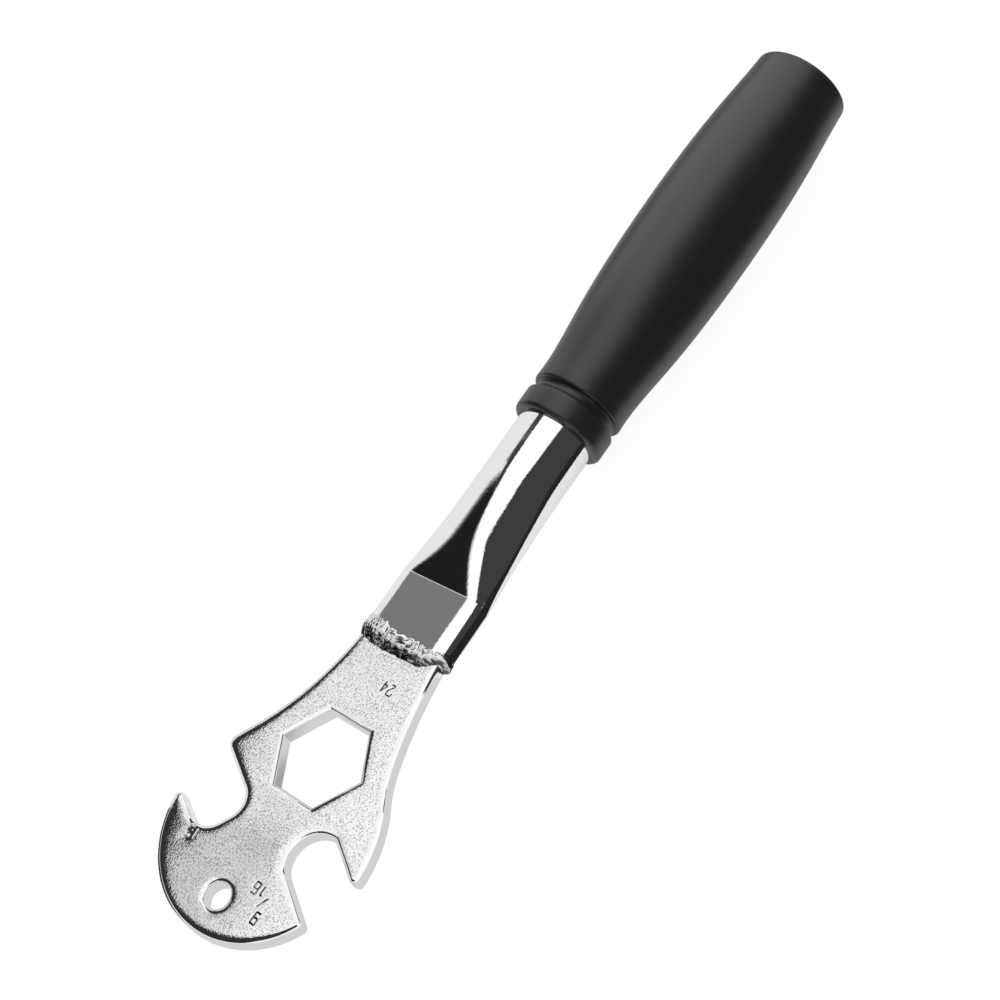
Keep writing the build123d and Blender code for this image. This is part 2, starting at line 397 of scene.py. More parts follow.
@dataclass(frozen=True)
class TubeChrome:
    """Bright chrome over a drawn steel tube.

    It mirrors the studio. The drawn skin under it is a little uneven, so the edge of each mirrored
    light and dark is ragged when seen close.
    """

    colour: str = "#FAFAFA"
    roughness: float = 0.045
    skin: Skin = Skin(width=0.6, depth=0.010, detail=2.0, fineness=0.6)

    def build(self) -> bpy.types.Material:
        """Make the material: a fine bump under a clear mirror.

        Returns:
            The material.
        """
        material, tree = new_material("chrome_over_drawn_steel")
        _, bump = self.skin.build(tree)
        shader = add_node(
            tree, "ShaderNodeBsdfPrincipled", Base_Color=linear(self.colour), Metallic=1.0,
            Roughness=self.roughness, Normal=bump,
        )
        add_node(tree, "ShaderNodeOutputMaterial", s0=shader)
        return material


@dataclass(frozen=True)
class WeldChrome:
    """Chrome over an arc weld that was left as it was laid: bright lumps with dull dark dips.

    The slope down to the plate gets a painted dark reflection, streaked along the slope, from a
    mesh attribute that is 1 there and 0 elsewhere.
    """

    colour: str = "#E6E6E4"
    dip_colour: str = "#969492"
    painted_reflection_colour: str = "#5C5B5A"
    roughness: float = 0.11
    lumps: Skin = Skin(width=1.1, depth=0.006, detail=4.0, fineness=0.6)
    dip_level: float = 0.34
    bright_level: float = 0.46

    def build(self) -> bpy.types.Material:
        """Make the material: lumps as a bump, with the dips darker and a painted dark reflection on
        the slope.

        Returns:
            The material.
        """
        material, tree = new_material("chrome_over_weld")
        lumps, bump = self.lumps.build(tree)
        raised = add_node(
            tree, "ShaderNodeMapRange", SMOOTH, Value=lumps, From_Min=self.dip_level,
            From_Max=self.bright_level,
        )
        # the last colour is the painted dark reflection on the slope down to the plate
        dip, bright, painted_dark = map(linear, (self.dip_colour, self.colour, self.painted_reflection_colour))
        colour = add_node(tree, "ShaderNodeMix", RGBA, s0=raised, s6=dip, s7=bright).outputs[2]
        # painted dark reflection: the mesh attribute that turns the slope to the dark colour
        painted_dark_reflection = add_node(tree, "ShaderNodeAttribute", {"attribute_name": "painted_dark_reflection"})
        with_painted_reflection = add_node(tree, "ShaderNodeMix", RGBA, s0=painted_dark_reflection.outputs["Fac"], s6=colour, s7=painted_dark)
        shader = add_node(
            tree, "ShaderNodeBsdfPrincipled", Base_Color=with_painted_reflection.outputs[2], Metallic=1.0,
            Roughness=self.roughness, Normal=bump,
        )
        add_node(tree, "ShaderNodeOutputMaterial", s0=shader)
        return material


@dataclass(frozen=True)
class GripVinyl:
    """Soft black vinyl, moulded in a fine-blasted mould, which leaves a satin skin.

    The mould's grain is finer than the skin, which is drawn coarser, so that it breaks the gloss.
    """

    colour: str = "#161616"
    roughness: float = 0.40
    specular: float = 0.85
    skin: Skin = Skin(width=0.35, depth=0.008, detail=2.0)

    def build(self) -> bpy.types.Material:
        """Make the material: satin black with a fine bump.

        Returns:
            The material.
        """
        material, tree = new_material("moulded_black_vinyl")
        _, bump = self.skin.build(tree)
        shader = add_node(
            tree, "ShaderNodeBsdfPrincipled", Base_Color=linear(self.colour),
            Roughness=self.roughness, Specular_IOR_Level=self.specular, Normal=bump,
        )
        add_node(tree, "ShaderNodeOutputMaterial", s0=shader)
        return material


class Finish(Enum):
    """The finishes of the wrench. Each dresses one piece."""

    HEAD = BlastedChrome()
    TUBE = TubeChrome()
    WELD = WeldChrome()
    GRIP = GripVinyl()

    def dress(self, piece: bpy.types.Object) -> None:
        """Give a new piece this finish."""
        piece.data.materials.append(self.value.build())


# ---------------------------------------------------------------- the wrench's pieces


def segment_distance(
    points: np.ndarray, starts: np.ndarray, ends: np.ndarray
) -> tuple[np.ndarray, np.ndarray]:
    """Distance from flat points to the nearest of some segments, and the way to it.

    Args:
        points: flat places, one row each.
        starts: the segments' first ends.
        ends: the segments' last ends.

    Returns:
        The distances, and the unit vectors towards the nearest places.
    """
    spans = ends - starts
    lengths = np.maximum((spans**2).sum(-1), 1e-12)
    distances, ways = [], []
    for chunk in np.array_split(points, max(1, len(points) // CHUNK)):
        offset = chunk[:, None, :] - starts[None]
        share = np.clip((offset * spans).sum(-1) / lengths, 0.0, 1.0)
        nearest = starts + share[..., None] * spans
        gap = nearest - chunk[:, None, :]
        reach = np.sqrt((gap**2).sum(-1))
        best = reach.argmin(1)
        row = np.arange(len(chunk))
        distances.append(reach[row, best])
        ways.append(gap[row, best] / np.maximum(reach[row, best], TINY)[:, None])
    return np.concatenate(distances), np.concatenate(ways)


def inside(points: np.ndarray, starts: np.ndarray, ends: np.ndarray) -> np.ndarray:
    """Tell which flat points lie within closed outlines.

    A ray from a point within crosses the outlines an odd number of times.

    Args:
        points: flat places, one row each.
        starts: the first ends of the outlines' edges.
        ends: their last ends.

    Returns:
        Whether each point lies within.
    """
    run, rise = (ends - starts).T
    rise = np.where(np.abs(rise) < 1e-12, 1e-12, rise)
    results = []
    for chunk in np.array_split(points, max(1, len(points) // CHUNK)):
        x, y = chunk[:, :1], chunk[:, 1:]
        spanned = (starts[:, 1] > y) != (ends[:, 1] > y)
        crossing = starts[:, 0] + (y - starts[:, 1]) * run / rise
        results.append((spanned & (x < crossing)).sum(1) % 2 == 1)
    return np.concatenate(results)


@dataclass
class Head:
    """The head plate: the CAD's shape, with its faces rolled off to their edges by the stamping.

    A roll is how far from an edge the face starts to lean, a tilt is its lean at the edge in
    degrees, and a power is how late the lean grows.
    """

    node: str = "head_plate"
    half_thickness: float = 2.5
    edge_round: float = 1.25
    grid: float = 0.7
    grid_half_length: float = 70.0
    grid_half_width: float = 40.0
    rim_clearance: float = 0.3
    outer_roll: float = 3.2
    outer_tilt: float = 24.0
    hole_roll: float = 3.0
    hole_tilt: float = 30.0
    roll_power: float = 2.4
    hole_power: float = 1.8
    mark_roll: float = 0.5
    mark_tilt: float = 38.0
    mark_size: float = 6.5
    mark_grid: float = 0.22
    mark_steps: int = 4
    halo_reach: float = 1.2
    flat_tolerance: float = 2e-3
    near: float = 0.02
    square_lean: float = 0.02
    steep_lean: float = 0.7

    def read_node(self, source: bpy.types.Mesh) -> tuple[np.ndarray, np.ndarray, np.ndarray]:
        """Read the CAD node's surface.

        Args:
            source: the node's mesh, whose triangles share no points.

        Returns:
            Its joined points, its triangles and its corner normals, on the wrench's axes.
        """
        loose = np.empty(len(source.vertices) * 3, np.float32)
        source.vertices.foreach_get("co", loose)
        corner = np.empty(len(source.loops), np.int32)
        source.loops.foreach_get("vertex_index", corner)
        normals = np.empty(len(source.loops) * 3, np.float32)
        source.corner_normals.foreach_get("vector", normals)
        rounded = np.round(loose.reshape(-1, 3).astype(float) / 2e-7)
        _, first, joined = np.unique(rounded, axis=0, return_index=True, return_inverse=True)
        points = (loose.reshape(-1, 3)[first] / MM - np.array(AXES.origin)) @ AXES.matrix().T
        triangles = joined.reshape(-1)[corner].reshape(-1, 3)
        return points, triangles, (normals.reshape(-1, 3) @ AXES.matrix().T).reshape(-1, 3, 3)

    def grid_points(self) -> np.ndarray:
        """Lay a grid of equal-sided triangles over the plate.

        Returns:
            The grid's flat points, one row each.
        """
        x = np.arange(-self.grid_half_length, self.grid_half_length, self.grid)
        row_step = self.grid * TRIANGLE_HEIGHT
        y = np.arange(-self.grid_half_width, self.grid_half_width, row_step)
        grid_x, grid_y = np.meshgrid(x, y, indexing="ij")
        grid_x = grid_x + (np.arange(len(y)) % 2) * self.grid / 2
        return np.stack([grid_x.ravel(), grid_y.ravel()], axis=-1)

    @staticmethod
    def rim(triangles: np.ndarray) -> np.ndarray:
        """Find the edges that only one of the triangles has.

        Args:
            triangles: their corner numbers, one row each.

        Returns:
            The two point numbers of each such edge, in its triangle's order.
        """
        edges = np.concatenate([triangles[:, [0, 1]], triangles[:, [1, 2]], triangles[:, [2, 0]]])
        keys = np.sort(edges, axis=1)
        _, first, count = np.unique(keys, axis=0, return_index=True, return_counts=True)
        return edges[first[count == 1]]

    def outline_edges(self, points: np.ndarray, edges: np.ndarray) -> tuple[np.ndarray, np.ndarray]:
        """Tell which rim edges belong to the plate's outline and which to its holes.

        Each loop of edges gets the lowest of its point numbers by passing it on along the edges,
        and a loop's size is the diagonal of its box. The largest is the outline, and those no
        larger than a mark are neither.

        Args:
            points: the plate's points.
            edges: the two point numbers of each rim edge.

        Returns:
            Whether each edge is the outline's, and whether it is a hole's.
        """
        label = np.arange(len(points))
        while True:
            low = np.minimum(label[edges[:, 0]], label[edges[:, 1]])
            after = label.copy()
            np.minimum.at(after, edges[:, 0], low)
            np.minimum.at(after, edges[:, 1], low)
            if (after == label).all():
                break
            label = after
        loops = label[edges[:, 0]]
        names, member = np.unique(loops, return_inverse=True)
        low = np.full((len(names), 2), np.inf)
        high = np.full((len(names), 2), -np.inf)
        np.minimum.at(low, member, points[edges[:, 0], :2])
        np.maximum.at(high, member, points[edges[:, 0], :2])
        size = np.linalg.norm(high - low, axis=1)
        outer = member == size.argmax()
        return outer, (size[member] > self.mark_size) & ~outer

    def face_points(
        self, grid: np.ndarray, starts: np.ndarray, ends: np.ndarray, marks: tuple
    ) -> tuple[np.ndarray, np.ndarray]:
        """Choose the points that divide a face, from a finer grid near its marks.

        Args:
            grid: flat points that cover the plate.
            starts: the first ends of the face's rim edges.
            ends: their last ends.
            marks: the first and the last ends of the marks' edges among them.

        Returns:
            The points within the face, and for each how much it lies on a mark's bright rim.
        """
        within = grid[inside(grid, starts, ends)]
        gap = segment_distance(within, starts, ends)[0]
        within = within[gap > self.rim_clearance * self.grid]
        if not len(marks[0]):
            return within, np.zeros(len(within))
        step = np.arange(-self.mark_steps, self.mark_steps + 1)
        steps = np.stack(np.meshgrid(step, step, indexing="ij"), -1).reshape(-1, 2)
        near = np.round(marks[0] / self.mark_grid).astype(int)[:, None, :] + steps[None]
        fine = np.unique(near.reshape(-1, 2), axis=0) * self.mark_grid
        fine = fine[inside(fine, starts, ends)]
        gap = segment_distance(fine, starts, ends)[0]
        fine = fine[gap > self.rim_clearance * self.mark_grid]
        far = segment_distance(within, *marks)[0] > (self.mark_steps + 0.5) * self.mark_grid
        within = np.concatenate([within[far], fine])
        distance, _ = segment_distance(within, *marks)
        return within, MARK_RIM * np.clip(self.halo_reach - distance / self.mark_roll, 0.0, 1.0)

    @staticmethod
    def triangulate(points: np.ndarray, edges: np.ndarray, side: float) -> np.ndarray:
        """Divide a flat face into triangles that keep its rims' edges.

        Args:
            points: the face's flat points.
            edges: the two point numbers of each rim edge.
            side: 1 for the upper face and -1 for the lower one, which turns the triangles.

        Returns:
            The triangles' point numbers, one row each, with none in a hole or outside.
        """
        pairs = [tuple(edge) for edge in edges.tolist()]
        found = delaunay_2d_cdt([tuple(point) for point in points], pairs, [], 0, 1e-7)
        source = np.array([origins[0] for origins in found[3]])
        faces = source[np.array(found[2])]
        centres = points[faces].mean(1)
        faces = faces[inside(centres, points[edges[:, 0]], points[edges[:, 1]])]
        order = points[faces]
        first, second = order[:, 1] - order[:, 0], order[:, 2] - order[:, 0]
        turn = first[:, 0] * second[:, 1] - first[:, 1] * second[:, 0]
        return np.where((turn * side > 0)[:, None], faces, faces[:, ::-1])

    def tilt(self, flat_points: np.ndarray, rims: list) -> np.ndarray:
        """Lean a face's normals sideways: none within, more towards its rims.

        The lean is the tilt times the share of the roll that is passed, raised to the power.

        Args:
            flat_points: the face's flat points.
            rims: the first and the last ends of the outline's, the holes' and the marks' edges.

        Returns:
            Each point's lean as a flat vector, whose length is the angle in radians.
        """
        lean = np.zeros((len(flat_points), 2))
        rolls = (self.outer_roll, self.hole_roll, self.mark_roll)
        tilts = (self.outer_tilt, self.hole_tilt, self.mark_tilt)
        powers = (self.roll_power, self.hole_power, self.roll_power)
        for (starts, ends), roll, most, power in zip(rims, rolls, tilts, powers):
            if not len(starts):
                continue
            distance, way = segment_distance(flat_points, starts, ends)
            share = np.clip(1.0 - distance / roll, 0.0, 1.0)
            lean += way * (np.radians(most) * share**power)[:, None]
        return lean

    def build(self, frame: dict) -> bpy.types.Object:
        """Make the plate from the CAD node, with a fine grid on both faces.

        The flat faces are divided again on a grid, joined to the same rims. A normal on a face
        leans outwards by an angle that grows towards the edge, and the normals of the round and
        the wall go on from there to square, so that the roll meets the round without a step.

        Args:
            frame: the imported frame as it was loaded.

        Returns:
            The head, in place of its CAD node.
        """
        points, triangles, corner_normals = self.read_node(frame["nodes"][self.node].data)
        grid = self.grid_points()
        heights = points[triangles][:, :, 2]
        kept = np.ones(len(triangles), bool)
        rim_normals = np.zeros_like(points)
        rims, new_points, new_faces, new_leans, halos = [], [], [], [], []
        offset = len(points)
        for side in (1.0, -1.0):
            level = side * self.half_thickness
            flat = (np.abs(heights - level) < self.flat_tolerance).all(1)
            kept &= ~flat
            edges = self.rim(triangles[flat])
            used, local = np.unique(edges, return_inverse=True)
            local = local.reshape(-1, 2)
            rim_points = points[used, :2]
            outer, holes = self.outline_edges(points, edges)
            kinds = (outer, holes, ~outer & ~holes)
            starts, ends = rim_points[local[:, 0]], rim_points[local[:, 1]]
            rims.append([(starts[kind], ends[kind]) for kind in kinds])
            within, halo = self.face_points(grid, starts, ends, rims[-1][2])
            flat_points = np.concatenate([rim_points, within])
            faces = self.triangulate(flat_points, local, side)
            number = np.concatenate([used, offset + np.arange(len(within))])
            new_points.append(np.column_stack([within, np.full(len(within), level)]))
            new_faces.append(number[faces])
            halos.append(halo)
            lean = self.tilt(flat_points, rims[-1])
            lean[: len(used)] = self.rim_lean(rim_points, local, kinds, side)
            rim_normals[used] = self.lean_normals(lean[: len(used)], side)
            new_leans.append(self.lean_normals(lean[faces], side))
            offset += len(within)
        walls = triangles[kept]
        wall_normals, stamped = self.carry_on(
            points, walls, corner_normals[kept], rim_normals, rims[0]
        )
        all_points = np.concatenate([points, *new_points])
        all_faces = np.concatenate([walls, *new_faces])
        normals = np.concatenate([wall_normals, *new_leans]).reshape(-1, 3)
        piece = make_piece("head", all_points, np.empty((0, 4), int), all_faces)
        piece.data.normals_split_custom_set((normals @ AXES.matrix()).tolist())
        attribute = piece.data.attributes.new("stamped", "FLOAT", "POINT")
        attribute.data.foreach_set("value", np.concatenate([stamped, *halos]))
        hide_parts(self.node)
        Finish.HEAD.dress(piece)
        return piece

    def rim_lean(self, rim: np.ndarray, edges: np.ndarray, kinds: tuple, side: float) -> np.ndarray:
        """Lean the rim points' own normals: square to the rim, by all of its kind's tilt.

        An edge keeps its triangle's turn, so that its outward side is known. Each edge counts by
        its length, so that the shortest ones don't turn the lean.

        Args:
            rim: the rims' flat points.
            edges: the two point numbers of each rim edge.
            kinds: whether each edge is the outline's, a hole's and a mark's.
            side: 1 for the upper face and -1 for the lower one.

        Returns:
            Each rim point's lean as a flat vector, whose length is the angle in radians.
        """
        lean = np.zeros((len(rim), 2))
        run = rim[edges[:, 1]] - rim[edges[:, 0]]
        outward = side * np.stack([run[:, 1], -run[:, 0]], axis=-1)
        tilts = (self.outer_tilt, self.hole_tilt, self.mark_tilt)
        weight = sum(kind * math.radians(tilt) for kind, tilt in zip(kinds, tilts))
        np.add.at(lean, edges[:, 0], outward)
        np.add.at(lean, edges[:, 1], outward)
        lean /= np.maximum(np.linalg.norm(lean, axis=1), TINY)[:, None]
        angle = np.zeros(len(rim))
        np.maximum.at(angle, edges[:, 0], weight)
        np.maximum.at(angle, edges[:, 1], weight)
        return lean * angle[:, None]

    @staticmethod
    def lean_normals(lean: np.ndarray, side: float) -> np.ndarray:
        """Turn leans into normals: the angle's sine sideways and its cosine up.

        Args:
            lean: flat vectors, whose lengths are the angles in radians.
            side: 1 for the upper face and -1 for the lower one.

        Returns:
            The unit normals.
        """
        angle = np.linalg.norm(lean, axis=-1, keepdims=True)
        sideways = lean / np.maximum(angle, TINY) * np.sin(angle)
        return np.concatenate([sideways, side * np.cos(angle)], axis=-1)

    def carry_on(
        self,
        points: np.ndarray,
        walls: np.ndarray,
        normals: np.ndarray,
        rim_normals: np.ndarray,
        outline: list,
    ) -> tuple[np.ndarray, np.ndarray]:
        """Turn the rounds' normals so that they start from the face's lean and still end square.

        On the outline's round the angle comes from the height, and the way from the nearest rim.
        A stamped mark's wall and floor meet in a normal halfway between theirs, which makes the
        stroke a rounded groove.

        Args:
            points: the joined points.
            walls: the triangles that aren't on a flat face.
            normals: their corners' normals.
            rim_normals: the faces' normals at the points of their rims, none elsewhere.
            outline: the outline's, the holes' and the marks' rims on the upper face.

        Returns:
            The corners' new normals, and each point's stamped attribute.
        """
        corner = walls.ravel()
        flat_places, height = points[corner, :2], points[corner, 2]
        vectors = normals.reshape(-1, 3)
        starts = np.concatenate([rim[0] for rim in outline[:2]])
        ends = np.concatenate([rim[1] for rim in outline[:2]])
        to_outer, to_rim = segment_distance(flat_places, *outline[0])
        to_hole, _ = segment_distance(flat_places, *outline[1])
        least = np.radians(np.where(to_outer < to_hole, self.outer_tilt, self.hole_tilt))
        mark = inside(flat_places, starts, ends) & (np.minimum(to_outer, to_hole) > self.near)
        mark &= height > 0
        sideways = np.linalg.norm(vectors[:, :2], axis=1)
        level = vectors[:, :2] / np.maximum(sideways, 1e-6)[:, None]
        angle = np.arccos(np.clip(np.abs(vectors[:, 2]), 0.0, 1.0))
        drop = (self.half_thickness - np.abs(height)) / self.edge_round
        rim_round = to_outer < to_hole
        level = np.where(rim_round[:, None], -to_rim, level)
        angle = np.where(rim_round, np.arccos(np.clip(1.0 - drop, 0.0, 1.0)), angle)
        wanted = least + angle * (1.0 - least / (math.pi / 2))
        side = np.where(vectors[:, 2] < 0, -1.0, 1.0)
        turned = np.column_stack([level * np.sin(wanted)[:, None], side * np.cos(wanted)])
        leaning = (rim_round | (sideways > self.square_lean)) & ~mark
        result = np.where(leaning[:, None], turned, vectors)
        groove = np.zeros((len(points), 2))
        steep = mark & (sideways > self.steep_lean)
        np.add.at(groove, corner[steep], level[steep])
        groove /= np.maximum(np.linalg.norm(groove, axis=1), 1e-6)[:, None]
        halfway = np.column_stack([groove[corner], np.ones(len(corner))])
        halfway /= np.linalg.norm(halfway, axis=1)[:, None]
        result = np.where(mark[:, None], halfway, result)
        at_rim = rim_normals[corner].any(1)
        result = np.where(at_rim[:, None], rim_normals[corner], result)
        stamped = np.zeros(len(points))
        sunk = height[mark] < self.half_thickness - self.near
        stamped[corner[mark]] = np.where(sunk, 1.0, MARK_RIM)
        return result.reshape(-1, 3, 3), stamped


@dataclass
class Tube:
    """The handle tube: round at the grip and pressed flat at the head."""

    diameter: float = 22.2
    wall: float = 1.9
    flat_width: float = 28.0177
    flat_height: float = 9.0
    squareness: float = 10.5
    rounding_reach: float = 5.4
    start: float = 36.5
    flat_end: float = 54.8
    crease_reach: float = 1.5
    flare_end: float = 92.0
    merge_reach: float = 8.0
    end: float = 232.35
    crease_sharpness: float = 400.0
    merge_sharpness: float = 14.0
    around: int = 360

    def stations(self) -> np.ndarray:
        """Choose the rings' distances along the handle, closer where the shape changes.

        Returns:
            The distances, in order.
        """
        before, after = self.flat_end - self.crease_reach, self.flat_end + self.crease_reach
        merged = self.flare_end + self.merge_reach
        runs = ((self.start, before, 24), (before, after, 25), (after, merged, 90))
        parts = [np.linspace(first, last, count, endpoint=False) for first, last, count in runs]
        return np.concatenate([*parts, np.linspace(merged, self.end, 30)])

    def sections(self, stations: np.ndarray, inset: float) -> np.ndarray:
        """Points of the tube's surface, one ring for each station.

        A ring is an oval in which the share of the half width, raised to the squareness, and the
        squared share of the half height add up to one. A high squareness gives the flat its
        straight faces, and 2 is an ellipse, which it nears as a power of e along the flare. The
        half width and height go evenly along the flare from the flat's to the round tube's, with a
        crisp crease at the flat and a soft end.

        Args:
            stations: distances along the handle.
            inset: how far the surface lies inside the tube's outside.

        Returns:
            An array of stations by points round the ring by x, y and z.
        """
        share = (stations - self.flat_end) / (self.flare_end - self.flat_end)
        past_end = soft_ramp(share - 1.0, self.merge_sharpness)
        share = (soft_ramp(share, self.crease_sharpness) - past_end)[:, None]
        round_radius = self.diameter / 2 - inset
        half_width = self.flat_width / 2 - inset
        half_height = self.flat_height / 2 - inset
        width = half_width + (round_radius - half_width) * share
        height = half_height + (round_radius - half_height) * share
        past_flat = np.maximum(stations - self.flat_end, 0.0)
        fading = np.exp(-past_flat / self.rounding_reach)
        squareness = (2.0 + (self.squareness - 2.0) * fading)[:, None]
        angle = 2 * math.pi * (np.arange(self.around) + 0.5)[None, :] / self.around
        across = np.sign(np.cos(angle)) * np.abs(np.cos(angle)) ** (2 / squareness) * width
        return stacked(stations[:, None], across, np.sin(angle) * height)

    def build(self) -> bpy.types.Object:
        """Make the tube as one closed shell, out along its outside and back along its bore.

        Returns:
            The tube, in place of its CAD node.
        """
        stations = self.stations()
        outside = self.sections(stations, 0.0)
        bore = self.sections(stations[::-4], self.wall)
        rings = np.concatenate([outside, bore])
        quads = ring_quads(len(rings), self.around, closed_rows=True)[:, ::-1]
        piece = make_piece("tube", rings.reshape(-1, 3), quads, np.empty((0, 3), int))
        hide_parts("handle_tube")
        Finish.TUBE.dress(piece)
        return piece


@dataclass
class Weld:
    """The bead round the end of the tube, with its ripples and lumps.

    The crest, the top and the end of the slope's painted dark reflection are shares of the way from
    the plate to the tube.
    """

    plate_toe: float = 32.4
    tube_toe: float = 38.5
    plate_half_width: float = 13.1
    plate_half_height: float = 2.5
    tube_half_width: float = 14.0
    tube_half_height: float = 4.5
    crown: float = 0.55
    side_crown: float = 0.45
    crest: float = 0.52
    toe_sink: float = 0.30
    toe_ragged: float = 0.35
    front_ragged_size: float = 1.8
    rear_ragged_sizes: tuple[float, float] = (2.6, 1.1)
    near_start_back: float = 2.4
    far_end_back: float = 2.8
    near_end_back: float = 0.8
    girth: float = 72.0
    ripple_spacing: float = 1.3
    ripple_height: float = 0.03
    ripple_bow: float = 5.2
    streak_height: float = 0.10
    streak_size: float = 2.4
    streak_stretch: tuple[float, float, float] = (2.6, 0.55, 1.0)
    lump_height: float = 0.11
    lump_size: float = 3.0
    fine_lump_size: float = 1.4
    fine_lump_share: float = 0.22
    top: tuple[float, float] = (0.3, 0.6)
    painted_reflection_end: tuple[float, float] = (0.34, 0.54)
    inner_start: float = 2.6
    inner_width_inset: float = 1.2
    inner_half_height: float = 2.0
    around: int = 720
    across: int = 72

    def toes(self, side: np.ndarray, rim: np.ndarray) -> tuple[np.ndarray, np.ndarray]:
        """Where the bead starts and ends along the handle, round its ring.

        The front toe lies further back at the near side and the rear toe at the far side.

        Args:
            side: how far each of the ring's points lies across, from -1 to 1.
            rim: the ring's points at the rear toe.

        Returns:
            The front toe's places along the handle, and the rear toe's.
        """
        start = self.plate_toe + self.near_start_back * smooth_step(-side, 0.55, 1.0)
        start = start + 0.4 * self.toe_ragged * ripple(rim, self.front_ragged_size, 9)
        end = self.tube_toe + self.far_end_back * smooth_step(side, 0.15, 0.8)
        end = end + self.near_end_back * smooth_step(-side, 0.5, 0.9)
        coarse, fine = self.rear_ragged_sizes
        ragged = ripple(rim, coarse, 7) + 0.8 * ripple(rim, fine, 8)
        return start, end + self.toe_ragged * ragged

    def build(self) -> bpy.types.Object:
        """Make the bead's surface from its toe on the plate over its crest to its toe on the tube.

        Each ring is a rounded rectangle. Its half width and half height rise from the plate's to
        the tube's over the front half, which is the slope with the painted dark reflection, and
        swell by a crown over the rest.
        Crescent ripples run along the bead, streaks along its slope, and random lumps move its
        surface and its rear toe.

        Returns:
            The bead, in place of its CAD node.
        """
        share = np.linspace(0.0, 1.0, self.across)[:, None]
        angle = 2 * math.pi * np.arange(self.around)[None, :] / self.around
        side = np.sign(np.cos(angle)) * np.abs(np.cos(angle)) ** 0.5
        upward = np.sign(np.sin(angle)) * np.abs(np.sin(angle)) ** 0.5
        rise = smooth_step(share, 0.0, self.crest)
        crown = np.sin(math.pi * share) ** 0.8 * self.crown
        sink = self.toe_sink * ((1 - share) ** 8 + share**10)
        taller = (self.tube_half_height - self.plate_half_height) * rise
        half_height = self.plate_half_height + taller + crown - sink
        wider = (self.tube_half_width - self.plate_half_width) * rise
        half_width = self.plate_half_width + wider + self.side_crown * crown - sink
        rim = stacked(0.0 * side, half_width[-1] * side, half_height[-1] * upward)
        start, end = self.toes(side, rim)
        along = start + (end - start) * share
        path = np.arange(self.around)[None, :] * (self.girth / self.around)
        bowed = path + self.ripple_bow * (share - 0.5) ** 2
        crescents = np.sin(2 * math.pi * bowed / self.ripple_spacing)
        places = stacked(along, half_width * side, half_height * upward)
        lumps = ripple(places, self.lump_size, 3)
        lumps = lumps + self.fine_lump_share * ripple(places, self.fine_lump_size, 4)
        streaks = ripple(places * np.array(self.streak_stretch), self.streak_size, 5)
        body = np.sin(math.pi * share) ** 0.6
        top = smooth_step(share, *self.top)
        growth = body * (
            self.ripple_height * crescents * top
            + self.lump_height * lumps * (0.15 + 0.85 * top)
            + self.streak_height * streaks * (1.0 - 0.7 * top)
        )
        y = (half_width + 0.4 * growth) * side
        z = (half_height + growth) * upward
        inner_x = np.linspace(self.tube_toe, self.plate_toe + self.inner_start, 6)[:, None]
        inner_y = (self.plate_half_width - self.inner_width_inset) * side
        inner = stacked(inner_x, inner_y, self.inner_half_height * upward)
        rings = np.concatenate([stacked(along, y, z), inner])
        quads = ring_quads(len(rings), self.around, closed_rows=True)[:, ::-1]
        piece = make_piece("weld", rings.reshape(-1, 3), quads, np.empty((0, 3), int))
        # painted dark reflection on the slope down to the plate: 1 on the slope, fading out past
        # its end and streaked along it
        slope = 1.0 - smooth_step(share + 0.05 * lumps, *self.painted_reflection_end)
        painted_dark_reflection = np.zeros(rings.shape[:2])
        painted_dark_reflection[: self.across] = slope * np.clip(0.85 + 0.6 * streaks, 0.0, 1.0)
        attribute = piece.data.attributes.new("painted_dark_reflection", "FLOAT", "POINT")
        attribute.data.foreach_set("value", painted_dark_reflection.ravel())
        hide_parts("weld_bead")
        Finish.WELD.dress(piece)
        return piece


